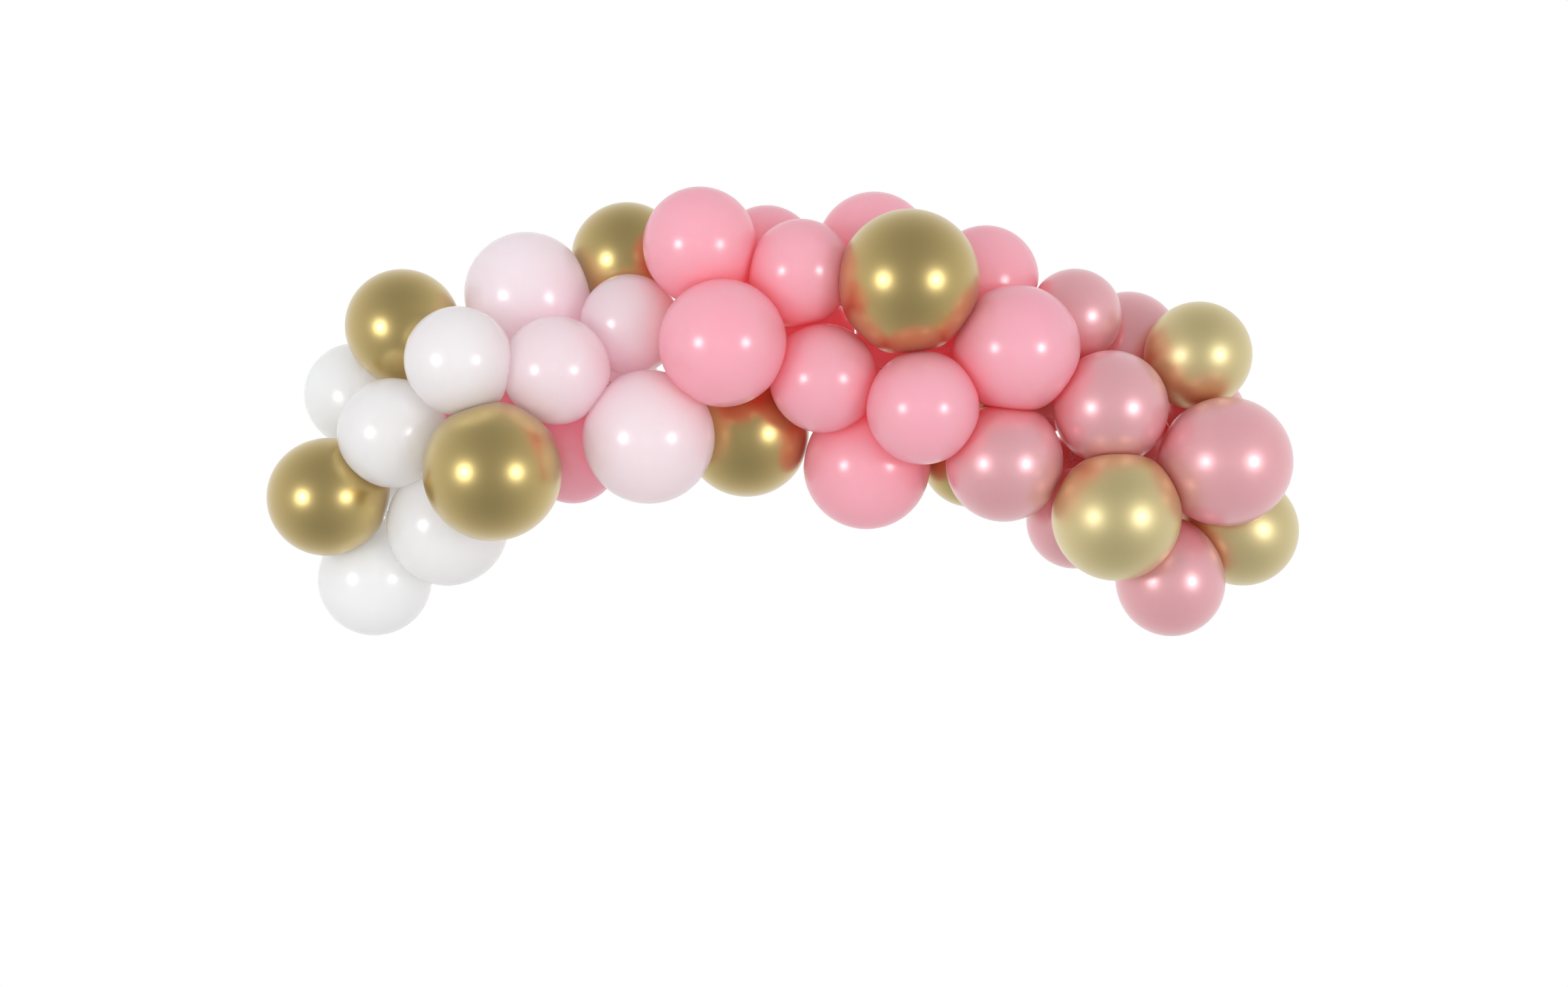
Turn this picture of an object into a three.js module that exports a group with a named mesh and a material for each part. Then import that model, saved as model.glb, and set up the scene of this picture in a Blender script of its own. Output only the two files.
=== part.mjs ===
// Balloon garland: tied latex balloons packed round one clear decorating strip that bends as a low arch.
// Millimetres, +Z up, +X to the right and -Y to the front. The origin is the middle of the
// hanging pad at the crown of the strip, on the pad's underside.
import * as THREE from "three";
import { mergeVertices } from "three/addons/utils/BufferGeometryUtils.js";

// ---- the decorating strip ----
const ARCH_RADIUS = 1300; // the bend of the strip, seen from the front
const HOLE_PITCH = 70; // from one hole to the next
const CELLS_EACH_SIDE = 11; // lengths of strip on each side of the crown pad
const STRIP_WIDTH = 16;
const STRIP_THICKNESS = 0.8;
const HOLE_SIZE = 9;

// ---- the balloons ----
const PEAR_LENGTH = 0.3; // how far the body tapers past its round part, in radii
const PEAR_SHARPNESS = 5; // how late the taper starts
const FACET_SWELL = 1.008; // lets the flat facets straddle the round skin
const KNOT_LENGTH = 20; // neck and tied knot together
const NECK_RADIUS = 7;
const KNOT_RADIUS = 8;
const PRESS_GAP = 0.4; // between two balloons that press on each other
const STRIP_GAP = 3; // between a balloon and the strip
const LEAST_TAPER = 0.06; // a neck tucked in tight still tapers this much, in radii
const SQUEEZE_COST = 4; // how much a neck shuns a place too tight for that
const LEAN_COST = 0.8; // how much it shuns leaning away from the strip
const NECK_TRIES = 5; // fineness of the directions tried for a neck
const SKIN_DETAIL = 2; // fineness of the facets of the skin

// Each balloon: its middle measured along the strip from the crown, above the strip and in front
// of it, then its diameter.
const BALLOONS = {
  white: [
    [-1000, -105, -55, 225],
    [-800, 220, -90, 205],
    [-785, -120, 35, 240],
    [-760, 85, 130, 205],
    [-585, 135, 210, 200],
    [-800, 30, -175, 205],
  ],
  gold: [
    [-940, 70, 60, 230],
    [-660, 270, 15, 225],
    [-620, -90, 215, 260],
    [-270, 250, -70, 225],
    [-85, -145, -20, 250],
    [215, 170, 185, 265],
    [430, -130, -65, 200],
    [730, 250, 35, 210],
    [745, -125, 165, 240],
    [1000, 35, -30, 220],
  ],
  blush: [
    [-450, 230, -10, 245],
    [-435, 50, 155, 205],
    [-285, 105, 60, 195],
    [-295, -130, 130, 250],
    [-380, 5, -170, 235],
  ],
  pink: [
    [-600, 80, -110, 235],
    [-475, -115, -15, 185],
    [-140, 235, 105, 220],
    [-115, 30, 185, 245],
    [-30, 220, -50, 200],
    [30, 175, 120, 195],
    [80, -40, 120, 210],
    [155, 245, -35, 225],
    [195, -200, 15, 250],
    [285, -75, 185, 210],
    [350, 225, -10, 210],
    [430, 95, 145, 240],
    [-135, 75, -125, 205],
    [45, 55, -110, 195],
    [250, 50, -125, 240],
  ],
  rose: [
    [485, -130, 125, 220],
    [515, 210, 10, 185],
    [630, 225, -120, 205],
    [635, 60, 115, 220],
    [700, -165, -25, 185],
    [870, 100, 130, 245],
    [950, -150, 50, 210],
    [495, 65, -145, 230],
    [735, 40, -140, 180],
    [815, 180, -110, 160],
    [640, -95, -180, 165],
  ],
};

const FINISHES = {
  white: { color: 0xf6f5f2, roughness: 0.38, metalness: 0 },
  gold: { color: 0xb49a5b, roughness: 0.24, metalness: 1 },
  blush: { color: 0xf4d3dc, roughness: 0.34, metalness: 0 },
  pink: { color: 0xf593a8, roughness: 0.34, metalness: 0 },
  rose: { color: 0xc98490, roughness: 0.3, metalness: 0.15 },
  strip: { color: 0xe8ecee, roughness: 0.15, metalness: 0 },
};

const CELL_ANGLE = HOLE_PITCH / ARCH_RADIUS;

// A corner of the icosahedron that the balloons are made from: five facets meet there.
const SPHERE_POLE = new THREE.Vector3(-1, (1 + Math.sqrt(5)) / 2, 0).normalize();

// A point of the garland: along the strip, above it and in front of it.
function onArch(along, above, front) {
  const angle = along / ARCH_RADIUS;
  const radius = ARCH_RADIUS + above;
  return new THREE.Vector3(radius * Math.sin(angle), -front, radius * Math.cos(angle) - ARCH_RADIUS);
}

// ---- the strip: a chain of flat cells, each with a square hole, except the pads ----

function isPad(cell) {
  return cell === 0 || Math.abs(cell) === CELLS_EACH_SIDE;
}

// The corner between two cells lies a little further out than their middles do.
function stripPoint(border, across, lift) {
  const angle = border * CELL_ANGLE;
  const radius = (ARCH_RADIUS + lift) / Math.cos(CELL_ANGLE / 2);
  return new THREE.Vector3(
    radius * Math.sin(angle),
    across,
    radius * Math.cos(angle) - ARCH_RADIUS,
  );
}

// A point inside a cell, at a distance from the cell's middle along its flat face.
function cellPoint(cell, offset, across, lift) {
  const start = stripPoint(cell - 0.5, across, lift);
  const end = stripPoint(cell + 0.5, across, lift);
  return start.lerp(end, 0.5 + offset / HOLE_PITCH);
}

function stripGeometry() {
  const positions = [];
  const addTriangle = (a, b, c) => positions.push(...a.toArray(), ...b.toArray(), ...c.toArray());
  const addQuad = (a, b, c, d) => {
    addTriangle(a, b, c);
    addTriangle(a, c, d);
  };
  const side = STRIP_WIDTH / 2;
  const rim = HOLE_SIZE / 2;
  const outline = [[-1, -1], [1, -1], [1, 1], [-1, 1]];
  for (let cell = -CELLS_EACH_SIDE; cell <= CELLS_EACH_SIDE; cell += 1) {
    const corners = (lift) => outline.map(([x, y]) => stripPoint(cell + x / 2, y * side, lift));
    const holes = (lift) => outline.map(([x, y]) => cellPoint(cell, x * rim, y * rim, lift));
    const under = corners(0);
    const over = corners(STRIP_THICKNESS);
    if (isPad(cell)) {
      addQuad(over[0], over[1], over[2], over[3]);
      addQuad(under[3], under[2], under[1], under[0]);
    } else {
      const holeUnder = holes(0);
      const holeOver = holes(STRIP_THICKNESS);
      outline.forEach((_, i) => {
        const j = (i + 1) % outline.length;
        addQuad(over[i], over[j], holeOver[j], holeOver[i]);
        addQuad(under[j], under[i], holeUnder[i], holeUnder[j]);
        addQuad(holeOver[i], holeOver[j], holeUnder[j], holeUnder[i]);
      });
    }
    addQuad(under[0], under[1], over[1], over[0]);
    addQuad(under[2], under[3], over[3], over[2]);
    if (cell === -CELLS_EACH_SIDE) {
      addQuad(under[3], under[0], over[0], over[3]);
    }
    if (cell === CELLS_EACH_SIDE) {
      addQuad(under[1], under[2], over[2], over[1]);
    }
  }
  const geometry = new THREE.BufferGeometry();
  geometry.setAttribute("position", new THREE.Float32BufferAttribute(positions, 3));
  return mergeVertices(geometry);
}

// ---- how far a balloon may reach: planes between it and its neighbours, and before the strip ----

// Between two balloons lies the plane of the circle in which their round skins would meet.
function planeBetween(balloon, other) {
  const normal = other.middle.clone().sub(balloon.middle);
  const apart = normal.length();
  const reach = (apart ** 2 + balloon.radius ** 2 - other.radius ** 2) / (2 * apart);
  return { normal: normal.divideScalar(apart), reach: reach - PRESS_GAP / 2 };
}

// Before a cell of the strip lies the plane through the point of its box that comes nearest.
function planeBeforeCell(balloon, cell) {
  const centre = cellPoint(cell, 0, 0, STRIP_THICKNESS / 2);
  const angle = cell * CELL_ANGLE;
  const turn = new THREE.Quaternion().setFromAxisAngle(new THREE.Vector3(0, 1, 0), angle);
  const local = balloon.middle.clone().sub(centre).applyQuaternion(turn.clone().invert());
  const half = new THREE.Vector3(HOLE_PITCH, STRIP_WIDTH, 2 * STRIP_THICKNESS).divideScalar(2);
  const nearest = local.clone().clamp(half.clone().negate(), half);
  const normal = nearest.sub(local);
  const apart = normal.length();
  normal.divideScalar(apart).applyQuaternion(turn);
  return { normal, reach: apart - STRIP_GAP };
}

function planesRound(balloon, balloons) {
  const planes = [];
  for (const other of balloons) {
    if (other !== balloon) {
      planes.push(planeBetween(balloon, other));
    }
  }
  for (let cell = -CELLS_EACH_SIDE; cell <= CELLS_EACH_SIDE; cell += 1) {
    planes.push(planeBeforeCell(balloon, cell));
  }
  return planes.filter((plane) => plane.reach < 2 * balloon.radius);
}

// The way from the balloon's middle to the first plane, for a rod of a given thickness.
function roomAlong(direction, planes, thickness) {
  let room = Infinity;
  for (const { normal, reach } of planes) {
    const slope = direction.dot(normal);
    if (slope > 0) {
      const sideways = thickness * Math.sqrt(Math.max(0, 1 - slope ** 2));
      room = Math.min(room, (reach - sideways) / slope);
    }
  }
  return room;
}

function spherePoints(detail) {
  const sphere = new THREE.IcosahedronGeometry(1, detail);
  sphere.deleteAttribute("normal");
  sphere.deleteAttribute("uv");
  return mergeVertices(sphere);
}

const TUCK_WAYS = spherePoints(NECK_TRIES);

// The neck leans towards the nearest hole of the strip, and gives way to where its neighbours
// leave it room for a full taper and the knot.
function neckDirection(balloon, planes) {
  const ways = [];
  for (let cell = -CELLS_EACH_SIDE; cell <= CELLS_EACH_SIDE; cell += 1) {
    ways.push(cellPoint(cell, 0, 0, STRIP_THICKNESS / 2).sub(balloon.middle));
  }
  const nearest = ways.reduce((a, b) => (a.length() < b.length() ? a : b)).clone().normalize();
  for (let i = 0; i < TUCK_WAYS.attributes.position.count; i += 1) {
    ways.push(new THREE.Vector3().fromBufferAttribute(TUCK_WAYS.attributes.position, i));
  }
  const wanted = balloon.radius * (1 + PEAR_LENGTH) + KNOT_LENGTH;
  const least = balloon.radius * (1 + LEAST_TAPER) + KNOT_LENGTH;
  const options = ways.map((way) => {
    const direction = way.normalize();
    const room = roomAlong(direction, planes, KNOT_RADIUS);
    const short = Math.max(0, wanted - room) + SQUEEZE_COST * Math.max(0, least - room);
    const lean = LEAN_COST * balloon.radius * direction.angleTo(nearest);
    return { direction, room, cost: short + lean };
  });
  return options.reduce((a, b) => (a.cost <= b.cost ? a : b));
}

// ---- the balloon: a pear-shaped skin, pressed flat by its neighbours, that ends in its knot ----

function balloonGeometry(balloon, balloons) {
  const planes = planesRound(balloon, balloons);
  const { direction, room } = neckDirection(balloon, planes);
  const knotEnd = Math.min(room, balloon.radius * (1 + PEAR_LENGTH) + KNOT_LENGTH);
  const neckStart = knotEnd - KNOT_LENGTH;
  const taper = Math.max(0, neckStart / balloon.radius - 1);

  const ball = spherePoints(SKIN_DETAIL);
  const turn = new THREE.Quaternion().setFromUnitVectors(SPHERE_POLE, direction);

  let pole = 0;
  const points = [];
  for (let i = 0; i < ball.attributes.position.count; i += 1) {
    const ray = new THREE.Vector3().fromBufferAttribute(ball.attributes.position, i);
    if (ray.normalize().dot(SPHERE_POLE) > 0.9999) {
      pole = i;
    }
    ray.applyQuaternion(turn);
    const towardsNeck = (1 + ray.dot(direction)) / 2;
    const skin = balloon.radius * FACET_SWELL * (1 + taper * towardsNeck ** PEAR_SHARPNESS);
    points.push(ray.multiplyScalar(Math.min(skin, roomAlong(ray, planes, 0))));
  }

  // The five facets at the neck are opened, and the neck is joined to their outer corners.
  const faces = [];
  const opened = [];
  for (let i = 0; i < ball.index.count; i += 3) {
    const face = [0, 1, 2].map((k) => ball.index.getX(i + k));
    if (face.includes(pole)) {
      const at = face.indexOf(pole);
      opened.push([face[(at + 1) % 3], face[(at + 2) % 3]]);
    } else {
      faces.push(face);
    }
  }
  const ring = [opened[0][0]];
  while (ring.length < opened.length) {
    ring.push(opened.find(([from]) => from === ring[ring.length - 1])[1]);
  }
  let previous = ring;
  for (const [along, radius] of [[neckStart, NECK_RADIUS], [knotEnd, KNOT_RADIUS]]) {
    const next = previous.map((index) => {
      const outward = points[index].clone().projectOnPlane(direction).setLength(radius);
      return points.push(outward.addScaledVector(direction, along)) - 1;
    });
    previous.forEach((index, i) => {
      const j = (i + 1) % previous.length;
      faces.push([index, previous[j], next[j]], [index, next[j], next[i]]);
    });
    previous = next;
  }
  for (let i = 1; i < previous.length - 1; i += 1) {
    faces.push([previous[0], previous[i], previous[i + 1]]);
  }

  const geometry = new THREE.BufferGeometry();
  const positions = faces.flat().flatMap((index) => points[index].toArray());
  geometry.setAttribute("position", new THREE.Float32BufferAttribute(positions, 3));
  return mergeVertices(geometry);
}

// ---- the garland ----

function makeMesh(name, geometry, finish) {
  const mesh = new THREE.Mesh(geometry, new THREE.MeshStandardMaterial(FINISHES[finish]));
  mesh.name = name;
  return mesh;
}

const balloons = Object.entries(BALLOONS).flatMap(([colour, rows]) =>
  rows.map(([along, above, front, diameter], i) => ({
    name: `balloon_${colour}_${String(i + 1).padStart(2, "0")}`,
    colour,
    middle: onArch(along, above, front),
    radius: diameter / 2,
  })),
);

const group = new THREE.Group();
group.add(makeMesh("decorating_strip", stripGeometry(), "strip"));
for (const colour of Object.keys(BALLOONS)) {
  const cluster = new THREE.Group();
  for (const balloon of balloons.filter((candidate) => candidate.colour === colour)) {
    const mesh = makeMesh(balloon.name, balloonGeometry(balloon, balloons), colour);
    mesh.position.copy(balloon.middle);
    cluster.add(mesh);
  }
  group.add(cluster);
}

export default group;
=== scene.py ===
"""Dresses the balloon garland: smooth pressed latex balloons with necks and knots, and the clear
decorating strip, on a plain pale stage. Metres, +Z up, -Y to the front."""

import math

import bpy
import numpy as np
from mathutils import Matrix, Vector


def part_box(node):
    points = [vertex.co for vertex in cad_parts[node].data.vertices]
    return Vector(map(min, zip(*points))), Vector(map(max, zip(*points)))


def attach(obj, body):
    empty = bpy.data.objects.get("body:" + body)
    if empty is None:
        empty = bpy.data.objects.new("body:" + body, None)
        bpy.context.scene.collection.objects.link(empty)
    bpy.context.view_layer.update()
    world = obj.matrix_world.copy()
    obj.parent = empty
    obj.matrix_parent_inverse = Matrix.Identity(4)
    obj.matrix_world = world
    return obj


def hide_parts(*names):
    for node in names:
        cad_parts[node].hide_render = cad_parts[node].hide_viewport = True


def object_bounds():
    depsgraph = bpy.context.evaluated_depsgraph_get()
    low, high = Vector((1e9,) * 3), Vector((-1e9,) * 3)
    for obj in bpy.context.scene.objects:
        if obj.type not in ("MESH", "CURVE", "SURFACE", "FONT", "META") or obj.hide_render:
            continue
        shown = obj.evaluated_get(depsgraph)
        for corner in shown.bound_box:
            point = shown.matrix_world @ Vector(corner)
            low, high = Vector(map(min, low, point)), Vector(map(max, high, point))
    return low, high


bl_info = {
    "name": "Balloon Garland",
    "version": (1, 0, 0),
    "blender": (4, 5, 0),
    "location": "3D View > Sidebar > Garland",
    "description": "Builds the latex balloons, the decorating strip and the stage of a garland",
    "category": "Add Mesh",
}

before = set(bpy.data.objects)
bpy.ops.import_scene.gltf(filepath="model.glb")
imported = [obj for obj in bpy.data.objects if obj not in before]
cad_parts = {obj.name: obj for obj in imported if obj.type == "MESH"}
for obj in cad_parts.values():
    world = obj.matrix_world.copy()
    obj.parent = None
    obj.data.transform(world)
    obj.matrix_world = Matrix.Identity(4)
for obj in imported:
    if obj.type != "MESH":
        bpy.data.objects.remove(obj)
CAD_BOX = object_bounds()

MILLIMETRE = 0.001
STRIP_NODE = "decorating_strip"
PALE_GOLD_BALLOONS = ("balloon_gold_08", "balloon_gold_09", "balloon_gold_10")

# ---- reading a balloon's round body from its solid ----
FIT_TOLERANCES = (0.02, 0.01, 0.005, 0.002, 0.001, 0.0005)
FACET_SWELL = 1.008  # how far the solid's corners stand outside the round skin
KNOT_LENGTH = 0.020  # the solid's neck and knot together
KNOT_CORNERS = 5  # the farthest corners, which end the knot

# ---- sizes of a balloon that its solid doesn't carry ----
PEAR_SHARPNESS = 5  # how late the body starts to taper towards the neck
STRIP_CLEARANCE = 0.004
PRESS_REACH = 1.6  # planes farther than this many radii don't press
PRESS_SOFTNESS = 40  # higher makes the rim of a pressed flat sharper
UNPRESSED_NECK = (0.22, 0.03)  # the angles from the neck between which a pressed flat ends
PLEATS = 11  # puckers round the neck
PLEAT_DEPTH = 0.0007
PLEAT_SPREAD = math.radians(13)
NECK_RIPPLE = 0.09  # how deep the puckers run on along the neck, as a share of its radius
NOSE_THICKNESS = 0.15
NOSE_SPREAD = math.radians(24)
THICK_ROOT = math.radians(38)  # where the skin starts to thicken towards the neck

# The neck behind the body, as (radius, way from the neck's root): a short tube, the rolled
# knot, and the flared lip that closes inside itself.
NECK_PROFILE = np.array([
    (8.2, -0.6), (6.3, 0.7), (5.0, 2.6), (4.2, 5.2), (4.1, 7.4), (5.2, 8.4), (6.9, 9.3),
    (7.6, 10.8), (7.0, 12.4), (5.0, 13.4), (3.7, 14.2), (4.1, 15.6), (5.6, 17.2), (7.1, 18.4),
    (7.9, 19.2), (7.7, 19.9), (6.9, 19.8), (5.6, 18.8), (3.4, 17.6), (1.4, 17.0),
]) * MILLIMETRE
BODY_ROWS = 70
NECK_ROWS = 34
COLUMNS = 64

# ---- the strip ----
STRIP_THICKNESS = 0.0008
HOLE_PITCH = 0.070
HOLE_RADIUS = 0.0045
HOLE_COLUMNS = 32
HOLE_RINGS = 5
RING_CROWDING = 1.5  # higher draws the rings in to the hole

# ---- the stage ----
LAMPS = (("left", math.radians(-42)), ("right", math.radians(41)))
SOFT_LAMP = (7.0, 2.4)  # distance and size of the lamps that light matt skin
CATCH_LAMP = (6.0, 1.3)  # distance and size of the lamps that glossy skin mirrors
FLOOR_RADIUS = 16
FLOOR_CORNERS = 96
FLOOR_COLOUR = (0.78, 0.77, 0.76, 1)
FRONT_MIRRORED = 0.40  # how bright the front of the room is in mirrors, against its back
HEIGHT_MIRRORED = -0.25  # the same for straight up and down, added to the middle's
WHITE = (1, 1, 1, 1)


# ---- reading the frame ----

def node_corners(name):
    """The distinct corners of a node's solid."""
    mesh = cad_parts[name].data
    points = np.empty(len(mesh.vertices) * 3, dtype=np.float32)
    mesh.vertices.foreach_get("co", points)
    return np.unique(points.reshape(-1, 3).astype(float).round(6), axis=0)


def fit_ball(corners):
    """The sphere that most corners lie on: least squares, then again on the corners that
    fit, with a tighter and tighter tolerance."""
    kept = corners
    for tolerance in FIT_TOLERANCES:
        table = np.c_[2 * kept, np.ones(len(kept))]
        solution = np.linalg.lstsq(table, (kept ** 2).sum(1), rcond=None)[0]
        middle = solution[:3]
        radius = math.sqrt(solution[3] + middle @ middle)
        misfit = np.abs(np.linalg.norm(corners - middle, axis=1) - radius)
        kept = corners[misfit < tolerance]
    return middle, radius / FACET_SWELL


class Balloon:
    """A balloon's middle, radius, neck direction and neck root, read from its solid."""

    def __init__(self, name):
        corners = node_corners(name)
        self.name = name
        self.middle, self.radius = fit_ball(corners)
        reach = np.linalg.norm(corners - self.middle, axis=1)
        knot = corners[np.argsort(reach)[-KNOT_CORNERS:]].mean(0) - self.middle
        self.knot_end = np.linalg.norm(knot)
        self.axis = knot / self.knot_end
        self.neck_root = self.knot_end - KNOT_LENGTH


def read_balloons():
    """Every balloon of the frame, in the order of their names."""
    names = sorted(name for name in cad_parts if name.startswith("balloon_"))
    return [Balloon(name) for name in names]


BALLOONS = read_balloons()
STRIP_CORNERS = node_corners(STRIP_NODE)


def pressing_planes(balloon):
    """The planes that flatten a balloon, as unit normals and distances from its middle: the
    plane in which two round skins would meet, and one before each corner of the strip."""
    normals = []
    distances = []
    for other in BALLOONS:
        if other is balloon:
            continue
        way = other.middle - balloon.middle
        apart = np.linalg.norm(way)
        normals.append(way / apart)
        distances.append((apart ** 2 + balloon.radius ** 2 - other.radius ** 2) / (2 * apart))
    ways = STRIP_CORNERS - balloon.middle
    apart = np.linalg.norm(ways, axis=1)
    normals = np.vstack([np.array(normals), ways / apart[:, None]])
    distances = np.concatenate([np.array(distances), apart - STRIP_CLEARANCE])
    near = distances < PRESS_REACH * balloon.radius
    return normals[near], distances[near]


# ---- surfaces ----

def smooth_step(low, high, value):
    """0 below low, 1 above high, and a smooth S between."""
    t = np.clip((value - low) / (high - low), 0, 1)
    return t * t * (3 - 2 * t)


def side_axes(axis):
    """Two unit vectors at right angles to an axis and to each other."""
    helper = np.array([0.0, 0.0, 1.0]) if abs(axis[2]) < 0.9 else np.array([1.0, 0.0, 0.0])
    first = np.cross(helper, axis)
    first /= np.linalg.norm(first)
    return first, np.cross(axis, first)


def resample(profile, count):
    """Points at even steps along a profile, rounded by a Catmull-Rom curve."""
    padded = np.vstack([2 * profile[0] - profile[1], profile, 2 * profile[-1] - profile[-2]])
    place = np.linspace(0, len(profile) - 1.000001, count)
    index = place.astype(int)
    t = (place - index)[:, None]
    a, b, c, d = (padded[index + k] for k in range(4))
    return 0.5 * (
        2 * b
        + (c - a) * t
        + (2 * a - 5 * b + 4 * c - d) * t ** 2
        + (3 * b - a - 3 * c + d) * t ** 3
    )


def balloon_surface(balloon):
    """The skin on a grid, and its thickness from 0 to 1: rows run from the nose to the lip,
    columns go round. All points of the first row are the nose.

    Body: along each ray from the middle, the radius is R times 1 + taper * s^5, where s is
    the squared sine of half the angle from the nose. A soft minimum with the pressing planes
    flattens it. Neck: the profile of radius against distance along the axis. Puckers are a
    cosine round the axis that fades away from the neck."""
    normals, distances = pressing_planes(balloon)
    first, second = side_axes(balloon.axis)
    taper = balloon.neck_root / balloon.radius - 1
    last = math.pi - math.asin(NECK_PROFILE[0, 0] / balloon.neck_root)
    angle = np.linspace(0, last, BODY_ROWS)[:, None, None]
    turn = np.linspace(0, 2 * math.pi, COLUMNS, endpoint=False)[None, :, None]
    outward = np.cos(turn) * first + np.sin(turn) * second
    rays = -np.cos(angle) * balloon.axis + np.sin(angle) * outward

    towards_neck = (1 - np.cos(angle[..., 0])) / 2
    skin = balloon.radius * (1 + taper * towards_neck ** PEAR_SHARPNESS)
    pressed = np.clip(rays @ normals.T, 0, None) / distances
    inverse = skin ** -PRESS_SOFTNESS + (pressed ** PRESS_SOFTNESS).sum(-1)
    reach = inverse ** (-1 / PRESS_SOFTNESS)

    from_neck = math.pi - angle[..., 0]
    settle = smooth_step(*UNPRESSED_NECK, from_neck)
    reach = reach * (1 - settle) + skin * settle
    puckers = np.cos(PLEATS * turn[..., 0]) * np.exp(-((from_neck / PLEAT_SPREAD) ** 2))
    body = rays * (reach + PLEAT_DEPTH * puckers)[..., None]

    profile = resample(NECK_PROFILE, NECK_ROWS)
    ripple = 1 + NECK_RIPPLE * np.cos(PLEATS * turn)
    tube = profile[:, 0, None, None] * ripple * outward
    neck = tube + (balloon.neck_root + profile[:, 1, None, None]) * balloon.axis
    grid = np.concatenate([body[:-1], neck]) + balloon.middle

    nose = NOSE_THICKNESS * np.exp(-((angle[:-1, :, 0] / NOSE_SPREAD) ** 2))
    root = smooth_step(THICK_ROOT, 0, from_neck[:-1])
    thickness = np.concatenate([np.maximum(nose, root), np.ones((NECK_ROWS, 1))])
    return grid, np.broadcast_to(thickness, grid.shape[:2])


def closed_grid_faces(rows, columns):
    """Quads of a grid that closes round its columns, and a fan of triangles at each end: one
    to the point before the grid's points and one to the point after them."""
    row = np.arange(rows - 1)[:, None] * columns
    column = np.arange(columns)[None, :]
    after = (column + 1) % columns
    below = row + columns
    quads = np.stack([row + column, row + after, below + after, below + column])
    quads = quads.reshape(4, -1).T + 1
    ring = np.arange(columns)
    start = np.stack([np.zeros(columns, int), (ring + 1) % columns + 1, ring + 1]).T
    base = (rows - 1) * columns + 1
    end = np.full(columns, rows * columns + 1)
    finish = np.stack([end, base + ring, base + (ring + 1) % columns]).T
    return quads.tolist() + start.tolist() + finish.tolist()


def add_object(name, points, faces, material):
    """A smooth mesh object at the origin, with its place in its points."""
    mesh = bpy.data.meshes.new(name)
    mesh.from_pydata(points.tolist(), [], faces)
    mesh.shade_smooth()
    mesh.materials.append(material)
    shown = bpy.data.objects.new(name, mesh)
    bpy.context.scene.collection.objects.link(shown)
    return shown


def add_balloon(balloon, material):
    """One latex balloon: body, neck, knot and lip in one closed skin."""
    grid, thickness = balloon_surface(balloon)
    rows, columns = thickness.shape
    points = np.vstack([grid[0, :1], grid[1:].reshape(-1, 3), grid[-1].mean(0)])
    faces = closed_grid_faces(rows - 1, columns)
    shown = add_object("skin_" + balloon.name, points, faces, material)
    values = np.concatenate([thickness[0, :1], thickness[1:].ravel(), [1.0]])
    layer = shown.data.attributes.new("skin_thickness", "FLOAT", "POINT")
    layer.data.foreach_set("value", values.astype(np.float32))
    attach(shown, "root")
    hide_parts(balloon.name)
    return shown


# ---- shader building ----

def new_material(name):
    """A material and its Principled shader, which is joined to the output."""
    material = bpy.data.materials.new(name)
    material.use_nodes = True
    return material, material.node_tree.nodes["Principled BSDF"]


def link(tree, output, socket):
    tree.links.new(output, socket)


def latex_colour_group():
    """Stretched Latex: colour deepens where the skin is thick, at the nose and the neck, and
    drifts faintly in broad clouds."""
    name = "Stretched Latex"
    if name in bpy.data.node_groups:
        return bpy.data.node_groups[name]
    group = bpy.data.node_groups.new(name, "ShaderNodeTree")
    face = group.interface
    face.new_socket("Thin Colour", in_out="INPUT", socket_type="NodeSocketColor")
    face.new_socket("Thick Colour", in_out="INPUT", socket_type="NodeSocketColor")
    face.new_socket("Thickness", in_out="INPUT", socket_type="NodeSocketFloat")
    face.new_socket("Cloud Depth", in_out="INPUT", socket_type="NodeSocketFloat")
    face.new_socket("Vector", in_out="INPUT", socket_type="NodeSocketVector")
    face.new_socket("Colour", in_out="OUTPUT", socket_type="NodeSocketColor")
    nodes = group.nodes
    source = nodes.new("NodeGroupInput")
    sink = nodes.new("NodeGroupOutput")
    clouds = nodes.new("ShaderNodeTexNoise")
    clouds.inputs["Scale"].default_value = 9.0
    clouds.inputs["Detail"].default_value = 3.0
    centred = nodes.new("ShaderNodeMath")
    centred.operation = "SUBTRACT"
    centred.inputs[1].default_value = 0.5
    scaled = nodes.new("ShaderNodeMath")
    scaled.operation = "MULTIPLY_ADD"
    scaled.use_clamp = True
    mix = nodes.new("ShaderNodeMix")
    mix.data_type = "RGBA"
    link(group, source.outputs["Vector"], clouds.inputs["Vector"])
    link(group, clouds.outputs["Fac"], centred.inputs[0])
    link(group, centred.outputs[0], scaled.inputs[0])
    link(group, source.outputs["Cloud Depth"], scaled.inputs[1])
    link(group, source.outputs["Thickness"], scaled.inputs[2])
    link(group, scaled.outputs[0], mix.inputs["Factor"])
    link(group, source.outputs["Thin Colour"], mix.inputs["A"])
    link(group, source.outputs["Thick Colour"], mix.inputs["B"])
    link(group, mix.outputs["Result"], sink.inputs["Colour"])
    return group


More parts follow.
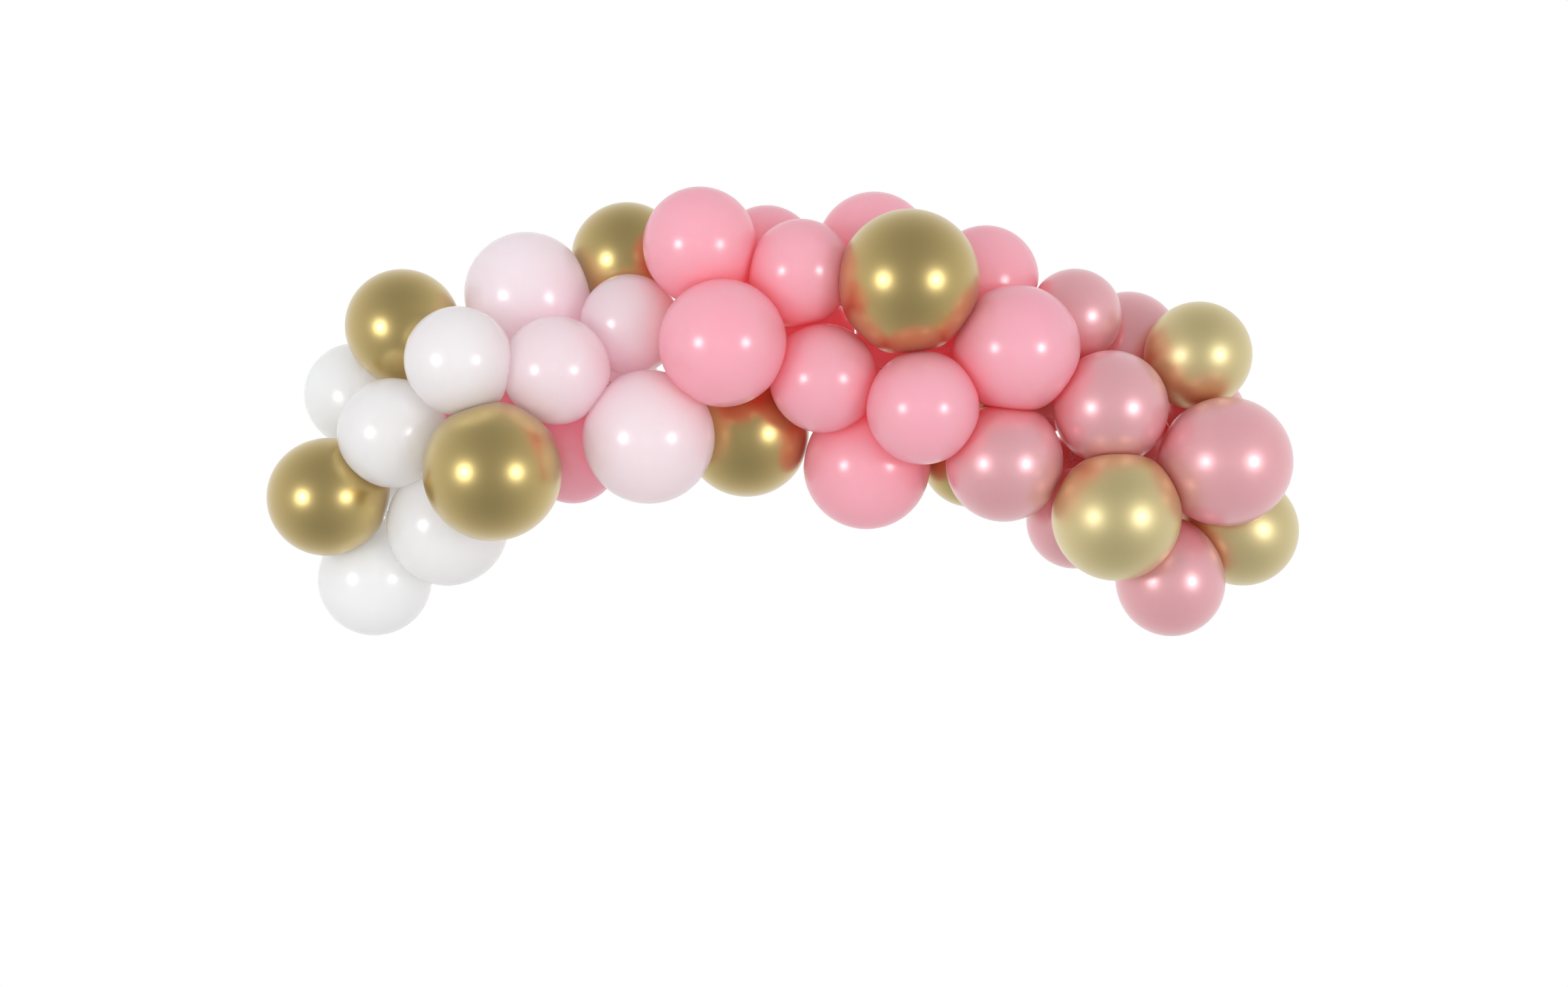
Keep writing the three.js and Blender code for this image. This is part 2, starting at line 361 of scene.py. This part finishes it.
def skin_finish_group():
    """Skin Finish: roughness that wanders a little with handling, and a fine powdery grain
    as a height for a Bump node."""
    name = "Skin Finish"
    if name in bpy.data.node_groups:
        return bpy.data.node_groups[name]
    group = bpy.data.node_groups.new(name, "ShaderNodeTree")
    face = group.interface
    face.new_socket("Roughness", in_out="INPUT", socket_type="NodeSocketFloat")
    face.new_socket("Wander", in_out="INPUT", socket_type="NodeSocketFloat")
    face.new_socket("Vector", in_out="INPUT", socket_type="NodeSocketVector")
    face.new_socket("Roughness", in_out="OUTPUT", socket_type="NodeSocketFloat")
    face.new_socket("Height", in_out="OUTPUT", socket_type="NodeSocketFloat")
    nodes = group.nodes
    source = nodes.new("NodeGroupInput")
    sink = nodes.new("NodeGroupOutput")
    smudges = nodes.new("ShaderNodeTexNoise")
    smudges.inputs["Scale"].default_value = 26.0
    smudges.inputs["Detail"].default_value = 4.0
    centred = nodes.new("ShaderNodeMath")
    centred.operation = "SUBTRACT"
    centred.inputs[1].default_value = 0.5
    wander = nodes.new("ShaderNodeMath")
    wander.operation = "MULTIPLY_ADD"
    grain = nodes.new("ShaderNodeTexNoise")
    grain.inputs["Scale"].default_value = 900.0
    grain.inputs["Detail"].default_value = 2.0
    link(group, source.outputs["Vector"], smudges.inputs["Vector"])
    link(group, source.outputs["Vector"], grain.inputs["Vector"])
    link(group, smudges.outputs["Fac"], centred.inputs[0])
    link(group, centred.outputs[0], wander.inputs[0])
    link(group, source.outputs["Wander"], wander.inputs[1])
    link(group, source.outputs["Roughness"], wander.inputs[2])
    link(group, wander.outputs[0], sink.inputs["Roughness"])
    link(group, grain.outputs["Fac"], sink.inputs["Height"])
    return group


def latex_material(name, thin, thick, roughness, wander, grain, cloud_depth):
    """A latex skin: colour by thickness, wandering roughness and a powdery grain."""
    material, shader = new_material(name)
    tree = material.node_tree
    nodes = tree.nodes
    place = nodes.new("ShaderNodeTexCoord")
    thickness = nodes.new("ShaderNodeAttribute")
    thickness.attribute_name = "skin_thickness"
    colour = nodes.new("ShaderNodeGroup")
    colour.node_tree = latex_colour_group()
    colour.inputs["Thin Colour"].default_value = (*thin, 1)
    colour.inputs["Thick Colour"].default_value = (*thick, 1)
    colour.inputs["Cloud Depth"].default_value = cloud_depth
    finish = nodes.new("ShaderNodeGroup")
    finish.node_tree = skin_finish_group()
    finish.inputs["Roughness"].default_value = roughness
    finish.inputs["Wander"].default_value = wander
    bump = nodes.new("ShaderNodeBump")
    bump.inputs["Strength"].default_value = grain
    bump.inputs["Distance"].default_value = 0.0002
    link(tree, place.outputs["Object"], colour.inputs["Vector"])
    link(tree, place.outputs["Object"], finish.inputs["Vector"])
    link(tree, thickness.outputs["Fac"], colour.inputs["Thickness"])
    link(tree, colour.outputs["Colour"], shader.inputs["Base Color"])
    link(tree, finish.outputs["Roughness"], shader.inputs["Roughness"])
    link(tree, finish.outputs["Height"], bump.inputs["Height"])
    link(tree, bump.outputs["Normal"], shader.inputs["Normal"])
    return material, shader


def let_light_through(material, shader, front_colour, back_colour, share):
    """Rays between surfaces meet the latex as a thin skin that lets a share of their light
    through; the camera and mirror-like surfaces see the full finish."""
    tree = material.node_tree
    nodes = tree.nodes
    front = nodes.new("ShaderNodeBsdfDiffuse")
    front.inputs["Color"].default_value = (*front_colour, 1)
    back = nodes.new("ShaderNodeBsdfTranslucent")
    back.inputs["Color"].default_value = (*back_colour, 1)
    skin = nodes.new("ShaderNodeMixShader")
    skin.inputs[0].default_value = share
    ray = nodes.new("ShaderNodeLightPath")
    seen = nodes.new("ShaderNodeMath")
    seen.operation = "MAXIMUM"
    choice = nodes.new("ShaderNodeMixShader")
    link(tree, front.outputs["BSDF"], skin.inputs[1])
    link(tree, back.outputs["BSDF"], skin.inputs[2])
    link(tree, ray.outputs["Is Camera Ray"], seen.inputs[0])
    link(tree, ray.outputs["Is Glossy Ray"], seen.inputs[1])
    link(tree, seen.outputs[0], choice.inputs[0])
    link(tree, skin.outputs["Shader"], choice.inputs[1])
    link(tree, shader.outputs["BSDF"], choice.inputs[2])
    link(tree, choice.outputs["Shader"], nodes["Material Output"].inputs["Surface"])


def glow_inside(shader, depth, glow):
    """A share of light, the depth, wanders on through the balloon: glow says how far, in
    metres, in red, green and blue."""
    shader.inputs["Subsurface Weight"].default_value = depth
    shader.inputs["Subsurface Radius"].default_value = glow
    shader.inputs["Subsurface Scale"].default_value = 1.0


def plain_latex(name, thin, roughness, thick, through, depth, glow):
    """Opaque-looking latex that light still passes through, so its shade side glows."""
    material, shader = latex_material(
        name, thin, thick, roughness, wander=0.06, grain=0.12, cloud_depth=0.10
    )
    glow_inside(shader, depth, glow)
    shader.inputs["Specular IOR Level"].default_value = 0.8
    let_light_through(material, shader, thin, through, share=0.6)
    return material


def metallic_latex(name, thin, thick, roughness, metal):
    """Latex loaded with metal flake: a soft, slightly uneven mirror under a clear skin."""
    material, shader = latex_material(
        name, thin, thick, roughness, wander=0.03, grain=0.03, cloud_depth=0.08
    )
    shader.inputs["Metallic"].default_value = metal
    shader.inputs["Coat Weight"].default_value = 1.0
    shader.inputs["Coat Roughness"].default_value = 0.36
    shader.inputs["Coat IOR"].default_value = 1.75
    return material


def gold_flake(name, thin, roughness, metal):
    """Metallic latex that is a fifth darker where the skin is thick."""
    return metallic_latex(name, thin, tuple(0.8 * c for c in thin), roughness, metal)


def clear_plastic(name):
    """Thin clear plastic of the strip."""
    material, shader = new_material(name)
    shader.inputs["Base Color"].default_value = (0.95, 0.97, 0.98, 1)
    shader.inputs["Roughness"].default_value = 0.06
    shader.inputs["Transmission Weight"].default_value = 1.0
    shader.inputs["IOR"].default_value = 1.49
    return material


# ---- settings ----

def colour_property(name, description, default):
    return bpy.props.FloatVectorProperty(
        name=name, description=description, subtype="COLOR", size=3, min=0, max=1, default=default
    )


class GarlandColours(bpy.types.PropertyGroup):
    """The latex colours and finishes that a decorator would choose."""

    white: colour_property("White", "Skin of the white balloons", (0.93, 0.96, 0.98))
    gold: colour_property("Gold", "Metal of the gold balloons", (0.62, 0.455, 0.14))
    pale_gold: colour_property("Pale Gold", "Metal of the satin balloons", (0.79, 0.66, 0.31))
    blush: colour_property("Blush", "Skin of the pale pink balloons", (0.97, 0.73, 0.84))
    pink: colour_property("Pink", "Skin of the pink balloons", (0.99, 0.35, 0.43))
    rose: colour_property("Rose", "Skin of the dusty rose balloons", (0.85, 0.39, 0.43))
    shine: bpy.props.FloatProperty(
        name="Skin Roughness",
        description="Roughness of the plain latex",
        subtype="FACTOR",
        min=0,
        max=1,
        default=0.25,
    )


class GarlandStage(bpy.types.PropertyGroup):
    """The floor, the lights and the camera."""

    floor_drop: bpy.props.FloatProperty(
        name="Floor Drop",
        description="From the garland's lowest point down to the floor",
        subtype="DISTANCE",
        default=1.0,
    )
    camera_distance: bpy.props.FloatProperty(
        name="Camera Distance",
        description="From the strip's plane to the camera",
        subtype="DISTANCE",
        default=4.37,
    )
    camera_drop: bpy.props.FloatProperty(
        name="Camera Drop",
        description="How far the camera stands below the garland's crown pad",
        subtype="DISTANCE",
        default=0.265,
    )
    lamp_light: bpy.props.FloatProperty(
        name="Lamp Light",
        description="Radiance of each soft lamp on matt latex",
        default=6.8,
    )
    fill_light: bpy.props.FloatProperty(
        name="Fill Light",
        description="Radiance of the fill lamp behind the camera",
        default=4.6,
    )
    catch_light: bpy.props.FloatProperty(
        name="Catch Light",
        description="Radiance of each lamp as glossy latex mirrors it",
        default=18.0,
    )
    room_light: bpy.props.FloatProperty(
        name="Room Light",
        description="Brightness of the white room on matt latex",
        default=0.77,
    )
    room_mirrored: bpy.props.FloatProperty(
        name="Room Mirrored",
        description="Brightness of the white room as glossy latex mirrors it",
        default=1.05,
    )


# ---- the operators ----

def balloons_of(colour):
    """The balloons of one colour."""
    return [balloon for balloon in BALLOONS if balloon.name.startswith(f"balloon_{colour}_")]


def dress(colour, material):
    """Puts the smooth skins on all balloons of one colour."""
    for balloon in balloons_of(colour):
        add_balloon(balloon, material)


class GARLAND_OT_white_balloons(bpy.types.Operator):
    """Build the white latex balloons"""

    bl_idname = "garland.white_balloons"
    bl_label = "White Balloons"

    def execute(self, context):
        colours = context.scene.garland_colours
        material = plain_latex(
            "white_latex", tuple(colours.white), colours.shine, thick=(0.90, 0.89, 0.86),
            through=(0.98, 0.97, 0.95), depth=0.55, glow=(1.5, 1.5, 1.4),
        )
        dress("white", material)
        return {"FINISHED"}


class GARLAND_OT_gold_balloons(bpy.types.Operator):
    """Build the metallic gold balloons"""

    bl_idname = "garland.gold_balloons"
    bl_label = "Gold Balloons"

    def execute(self, context):
        colours = context.scene.garland_colours
        chrome = gold_flake("gold_latex", tuple(colours.gold), 0.33, 1.0)
        satin = gold_flake("pale_gold_latex", tuple(colours.pale_gold), 0.46, 0.9)
        for balloon in balloons_of("gold"):
            pale = balloon.name in PALE_GOLD_BALLOONS
            add_balloon(balloon, satin if pale else chrome)
        return {"FINISHED"}


class GARLAND_OT_blush_balloons(bpy.types.Operator):
    """Build the pale blush pink balloons"""

    bl_idname = "garland.blush_balloons"
    bl_label = "Blush Balloons"

    def execute(self, context):
        colours = context.scene.garland_colours
        material = plain_latex(
            "blush_latex", tuple(colours.blush), colours.shine, thick=(0.92, 0.62, 0.69),
            through=(0.98, 0.84, 0.88), depth=0.60, glow=(1.5, 0.90, 1.00),
        )
        dress("blush", material)
        return {"FINISHED"}


class GARLAND_OT_pink_balloons(bpy.types.Operator):
    """Build the pink balloons"""

    bl_idname = "garland.pink_balloons"
    bl_label = "Pink Balloons"

    def execute(self, context):
        colours = context.scene.garland_colours
        material = plain_latex(
            "pink_latex", tuple(colours.pink), colours.shine, thick=(0.92, 0.26, 0.35),
            through=(0.98, 0.50, 0.44), depth=0.50, glow=(1.5, 0.35, 0.35),
        )
        dress("pink", material)
        return {"FINISHED"}


class GARLAND_OT_rose_balloons(bpy.types.Operator):
    """Build the dusty rose pearl balloons"""

    bl_idname = "garland.rose_balloons"
    bl_label = "Rose Balloons"

    def execute(self, context):
        thin = tuple(context.scene.garland_colours.rose)
        material = metallic_latex("rose_latex", thin, (0.60, 0.24, 0.27), 0.34, 0.35)
        shader = material.node_tree.nodes["Principled BSDF"]
        glow_inside(shader, 0.4, (1.0, 0.12, 0.12))
        let_light_through(material, shader, thin, (0.90, 0.40, 0.38), share=0.5)
        dress("rose", material)
        return {"FINISHED"}


def strip_surface():
    """The tape's middle surface and its faces, laid out flat and then bent.

    Every hole's length of tape is a set of rings: a ring point is the point on the hole's
    circle and the point on the length's edge, mixed by the ring's share. A length without a
    hole keeps the same rings, closed by a middle point. The flat sheet (along, across) then
    bends to the arch: angle = along / radius."""
    low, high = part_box(STRIP_NODE)
    half_chord = (high.x - low.x) / 2
    rise = high.z - low.z - STRIP_THICKNESS
    radius = (half_chord ** 2 + rise ** 2) / (2 * rise)
    half_length = radius * math.asin(min(1.0, half_chord / radius))
    cells = int(round(2 * half_length / HOLE_PITCH))
    pitch = 2 * half_length / cells
    side = (high.y - low.y) / 2

    corner = math.atan2(side, pitch / 2)
    even = (np.arange(HOLE_COLUMNS) + 0.5) * 2 * math.pi / HOLE_COLUMNS
    turn = np.sort(np.r_[even, corner, math.pi - corner, math.pi + corner, 2 * math.pi - corner])
    circle = np.stack([np.cos(turn), np.sin(turn)], 1)
    edge = circle / np.max(np.abs(circle) / [pitch / 2, side], axis=1)[:, None]
    share = np.linspace(0, 1, HOLE_RINGS)[:, None, None] ** RING_CROWDING
    rings = (HOLE_RADIUS * circle * (1 - share) + edge * share).reshape(-1, 2)

    columns = len(turn)
    column = np.arange(columns)
    after = (column + 1) % columns
    ring = np.arange(HOLE_RINGS - 1)[:, None] * columns
    quads = np.stack([ring + column, ring + columns + column, ring + columns + after, ring + after])
    quads = quads.reshape(4, -1).T
    cell = np.arange(cells)
    start = cell[:, None, None] * len(rings)
    along = ((cell - (cells - 1) / 2) * pitch)[:, None]
    flat = np.concatenate([rings[None, :, 0] + along,
                           np.broadcast_to(rings[:, 1], (cells, len(rings)))]).reshape(2, -1)
    middles = along[[0, cells // 2, -1]].T
    flat = np.concatenate([flat, np.vstack([middles, np.zeros((1, 3))])], axis=1)
    fans = [
        np.stack([np.full(columns, cells * len(rings) + k), place * len(rings) + column,
                  place * len(rings) + after], 1).tolist()
        for k, place in enumerate((0, cells // 2, cells - 1))
    ]
    faces = (quads[None] + start).reshape(-1, 4).tolist() + sum(fans, [])
    angle = flat[0] / radius
    height = radius * (np.cos(angle) - 1) + STRIP_THICKNESS / 2
    return np.stack([radius * np.sin(angle), flat[1], height], 1), faces


class GARLAND_OT_decorating_strip(bpy.types.Operator):
    """Build the clear decorating strip with its holes"""

    bl_idname = "garland.decorating_strip"
    bl_label = "Decorating Strip"

    def execute(self, context):
        points, faces = strip_surface()
        strip = add_object("clear_strip", points, faces, clear_plastic("clear_strip"))
        wall = strip.modifiers.new("thickness", "SOLIDIFY")
        wall.thickness = STRIP_THICKNESS
        wall.offset = 0
        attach(strip, "root")
        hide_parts(STRIP_NODE)
        return {"FINISHED"}


def stage_floor(height):
    """A wide pale disc that the camera sees as an even white, as a lit sweep looks. Glossy
    skin mirrors the room in its place."""
    turn = np.linspace(0, 2 * math.pi, FLOOR_CORNERS, endpoint=False)
    rim = np.stack(
        [FLOOR_RADIUS * np.cos(turn), FLOOR_RADIUS * np.sin(turn), np.full(len(turn), height)], 1
    )
    material, shader = new_material("pale_floor")
    tree = material.node_tree
    shader.inputs["Base Color"].default_value = FLOOR_COLOUR
    shader.inputs["Roughness"].default_value = 0.9
    shader.inputs["Specular IOR Level"].default_value = 0.0
    bright = tree.nodes.new("ShaderNodeEmission")
    bright.inputs["Color"].default_value = WHITE
    bright.inputs["Strength"].default_value = 1.0
    ray = tree.nodes.new("ShaderNodeLightPath")
    mix = tree.nodes.new("ShaderNodeMixShader")
    output = tree.nodes["Material Output"]
    link(tree, ray.outputs["Is Camera Ray"], mix.inputs[0])
    link(tree, shader.outputs["BSDF"], mix.inputs[1])
    link(tree, bright.outputs["Emission"], mix.inputs[2])
    link(tree, mix.outputs["Shader"], output.inputs["Surface"])
    floor = add_object("floor", rim, [list(range(len(turn)))], material)
    floor.visible_glossy = False


def studio_world(room_light, room_mirrored):
    """A white room. The camera sees it pure white; matt surfaces get it even and dimmer;
    glossy ones mirror it darker towards the front (-Y) and darker overhead and underfoot."""
    world = bpy.data.worlds.new("studio")
    world.use_nodes = True
    tree = world.node_tree
    nodes = tree.nodes
    place = nodes.new("ShaderNodeTexCoord")
    split = nodes.new("ShaderNodeSeparateXYZ")
    mirrored = nodes.new("ShaderNodeMapRange")
    mirrored.inputs["From Min"].default_value = -1.0
    mirrored.inputs["From Max"].default_value = 1.0
    mirrored.inputs["To Min"].default_value = FRONT_MIRRORED * room_mirrored
    mirrored.inputs["To Max"].default_value = room_mirrored
    height = nodes.new("ShaderNodeMath")
    height.operation = "MULTIPLY"
    dimmed = nodes.new("ShaderNodeMath")
    dimmed.operation = "MULTIPLY_ADD"
    dimmed.inputs[1].default_value = HEIGHT_MIRRORED * room_mirrored
    ray = nodes.new("ShaderNodeLightPath")
    matt = nodes.new("ShaderNodeMix")
    matt.inputs["A"].default_value = room_light
    glossy = nodes["Background"]
    glossy.inputs["Color"].default_value = WHITE
    white = nodes.new("ShaderNodeBackground")
    white.inputs["Color"].default_value = WHITE
    mix = nodes.new("ShaderNodeMixShader")
    link(tree, place.outputs["Generated"], split.inputs["Vector"])
    link(tree, split.outputs["Y"], mirrored.inputs["Value"])
    link(tree, ray.outputs["Is Glossy Ray"], matt.inputs["Factor"])
    link(tree, split.outputs["Z"], height.inputs[0])
    link(tree, split.outputs["Z"], height.inputs[1])
    link(tree, height.outputs[0], dimmed.inputs[0])
    link(tree, mirrored.outputs["Result"], dimmed.inputs[2])
    link(tree, dimmed.outputs[0], matt.inputs["B"])
    link(tree, matt.outputs["Result"], glossy.inputs["Strength"])
    link(tree, ray.outputs["Is Camera Ray"], mix.inputs[0])
    link(tree, glossy.outputs["Background"], mix.inputs[1])
    link(tree, white.outputs["Background"], mix.inputs[2])
    link(tree, mix.outputs["Shader"], nodes["World Output"].inputs["Surface"])
    bpy.context.scene.world = world


def add_lamp(name, bearing, place, radiance, middle, mirrored):
    """A round studio lamp at the garland's height that faces its middle; its place is its
    distance and size. A mirrored lamp is seen only in glossy surfaces, and the other kind
    lights only matt ones."""
    distance, size = place
    lamp = bpy.data.lights.new(name, "AREA")
    lamp.shape = "DISK"
    lamp.size = size
    lamp.energy = radiance * math.pi * math.pi * size ** 2 / 4
    shown = bpy.data.objects.new(name, lamp)
    shown.location = middle + distance * np.array([math.sin(bearing), -math.cos(bearing), 0])
    shown.rotation_euler = (math.pi / 2, 0, bearing)
    shown.visible_camera = False
    shown.visible_glossy = mirrored
    shown.visible_diffuse = not mirrored
    bpy.context.scene.collection.objects.link(shown)


class GARLAND_OT_stage(bpy.types.Operator):
    """Build the floor, the studio light and the camera"""

    bl_idname = "garland.stage"
    bl_label = "Stage"

    def execute(self, context):
        scene = context.scene
        stage = scene.garland_stage
        low, high = CAD_BOX
        stage_floor(low.z - stage.floor_drop)
        studio_world(stage.room_light, stage.room_mirrored)
        middle = np.array([0.0, 0.0, -stage.camera_drop])
        for side, bearing in LAMPS:
            add_lamp(f"lamp_{side}", bearing, SOFT_LAMP, stage.lamp_light, middle, False)
            add_lamp(
                f"catch_light_{side}", bearing, CATCH_LAMP, stage.catch_light, middle, True
            )
        add_lamp("fill", 0.0, SOFT_LAMP, stage.fill_light, middle, False)
        camera = bpy.data.cameras.new("camera")
        camera.lens = 50
        camera.sensor_width = 36
        camera.clip_end = 100
        shown = bpy.data.objects.new("camera", camera)
        shown.location = (0, -stage.camera_distance, -stage.camera_drop)
        shown.rotation_euler = (math.pi / 2, 0, 0)
        scene.collection.objects.link(shown)
        scene.camera = shown
        scene.view_settings.view_transform = "Standard"
        scene.cycles.diffuse_bounces = 8
        scene.cycles.max_bounces = 16
        return {"FINISHED"}


class GARLAND_PT_panel(bpy.types.Panel):
    """Lists the garland's pieces"""

    bl_idname = "GARLAND_PT_panel"
    bl_label = "Balloon Garland"
    bl_space_type = "VIEW_3D"
    bl_region_type = "UI"
    bl_category = "Garland"

    def draw(self, context):
        scene = context.scene
        for settings in (scene.garland_colours, scene.garland_stage):
            for key in settings.__annotations__:
                self.layout.prop(settings, key)
        for operator in OPERATORS:
            self.layout.operator(operator.bl_idname)


OPERATORS = (
    GARLAND_OT_stage,
    GARLAND_OT_white_balloons,
    GARLAND_OT_gold_balloons,
    GARLAND_OT_blush_balloons,
    GARLAND_OT_pink_balloons,
    GARLAND_OT_rose_balloons,
    GARLAND_OT_decorating_strip,
)
CLASSES = (GarlandColours, GarlandStage, *OPERATORS, GARLAND_PT_panel)


def register():
    for entry in CLASSES:
        bpy.utils.register_class(entry)
    bpy.types.Scene.garland_colours = bpy.props.PointerProperty(type=GarlandColours)
    bpy.types.Scene.garland_stage = bpy.props.PointerProperty(type=GarlandStage)


def unregister():
    del bpy.types.Scene.garland_stage
    del bpy.types.Scene.garland_colours
    for entry in reversed(CLASSES):
        bpy.utils.unregister_class(entry)


def main():
    """Builds the scene."""
    register()
    bpy.ops.garland.stage()
    bpy.ops.garland.white_balloons()
    bpy.ops.garland.gold_balloons()
    bpy.ops.garland.blush_balloons()
    bpy.ops.garland.pink_balloons()
    bpy.ops.garland.rose_balloons()
    bpy.ops.garland.decorating_strip()


if __name__ == "__main__":
    main()
